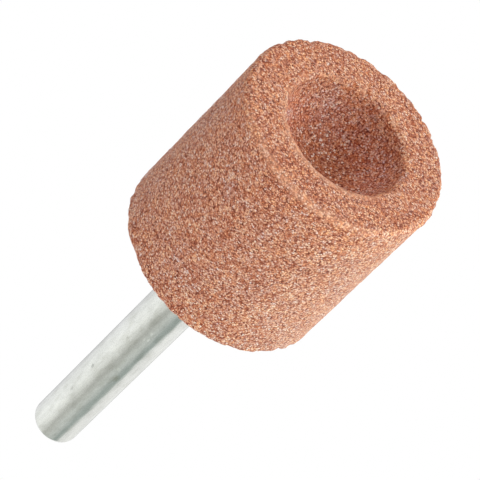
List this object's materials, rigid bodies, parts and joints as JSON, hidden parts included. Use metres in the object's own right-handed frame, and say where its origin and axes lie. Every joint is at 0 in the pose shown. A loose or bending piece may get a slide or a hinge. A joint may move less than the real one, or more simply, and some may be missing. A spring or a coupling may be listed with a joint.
{
  "type": "mounted point",
  "caption": "Cylindrical vitrified abrasive mounted point with a dished working face, fixed on a plain round steel shank for a rotary grinder's collet.",
  "frame": {"origin": "centre of the working face, at the bottom of the part", "axes": "+Z along the axis, from the working face to the free end of the shank; +X and +Y are any two square directions across it"},
  "size_m": [0.0254, 0.0254, 0.065],
  "materials": {
    "abrasive": "coarse pink-brown vitrified grain",
    "steel": "bright drawn steel"
  },
  "bodies": {
    "root": {"abrasive_head": "abrasive", "shank": "steel"}
  },
  "joints": []
}
